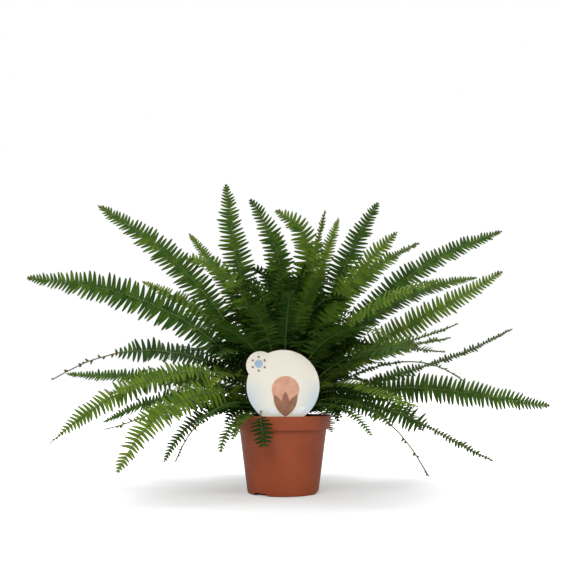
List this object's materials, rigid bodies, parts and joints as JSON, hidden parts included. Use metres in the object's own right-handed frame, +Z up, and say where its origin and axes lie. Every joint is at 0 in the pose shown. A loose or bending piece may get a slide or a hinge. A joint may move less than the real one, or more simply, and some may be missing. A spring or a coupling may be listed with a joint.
{
  "type": "potted fern",
  "caption": "Sword fern with arching feather-like fronds in a terracotta-coloured plastic nursery pot, with a round card plant label in the soil",
  "frame": {"origin": "centre of the pot's flat base, on the surface that the pot stands on", "axes": "+Z up along the pot's axis; the plant label faces -Y, the front; +X is to the right seen from the front"},
  "size_m": [0.6442, 0.4401, 0.3971],
  "materials": {
    "pot_plastic": "satin",
    "potting_soil": "matte",
    "crown_tissue": "matte",
    "label_card": "satin",
    "frond_leaf": "satin"
  },
  "bodies": {
    "root": {"pot": "pot_plastic", "potting_soil": "potting_soil", "crown": "crown_tissue", "plant_label": "label_card", "frond_top_01": "frond_leaf", "frond_top_02": "frond_leaf", "frond_top_03": "frond_leaf", "frond_top_04": "frond_leaf", "frond_top_05": "frond_leaf", "frond_top_06": "frond_leaf", "frond_top_07": "frond_leaf", "frond_top_08": "frond_leaf", "frond_top_09": "frond_leaf", "frond_top_10": "frond_leaf", "frond_left_01": "frond_leaf", "frond_left_02": "frond_leaf", "frond_left_03": "frond_leaf", "frond_left_04": "frond_leaf", "frond_left_05": "frond_leaf", "frond_left_06": "frond_leaf", "frond_left_07": "frond_leaf", "frond_left_08": "frond_leaf", "frond_left_09": "frond_leaf", "frond_left_10": "frond_leaf", "frond_left_11": "frond_leaf", "frond_left_12": "frond_leaf", "frond_left_13": "frond_leaf", "frond_left_14": "frond_leaf", "frond_right_01": "frond_leaf", "frond_right_02": "frond_leaf", "frond_right_03": "frond_leaf", "frond_right_04": "frond_leaf", "frond_right_05": "frond_leaf", "frond_right_06": "frond_leaf", "frond_right_07": "frond_leaf", "frond_right_08": "frond_leaf", "frond_right_09": "frond_leaf", "frond_right_10": "frond_leaf", "frond_right_11": "frond_leaf", "frond_right_12": "frond_leaf", "frond_right_13": "frond_leaf", "frond_right_14": "frond_leaf", "frond_front_01": "frond_leaf", "frond_front_02": "frond_leaf", "frond_front_03": "frond_leaf", "frond_front_04": "frond_leaf", "frond_front_05": "frond_leaf", "frond_front_06": "frond_leaf", "frond_back_01": "frond_leaf", "frond_back_02": "frond_leaf", "frond_back_03": "frond_leaf", "frond_back_04": "frond_leaf", "frond_back_05": "frond_leaf", "frond_back_06": "frond_leaf", "frond_back_07": "frond_leaf", "frond_back_08": "frond_leaf", "frond_back_09": "frond_leaf", "frond_back_10": "frond_leaf", "frond_back_11": "frond_leaf"}
  },
  "joints": []
}
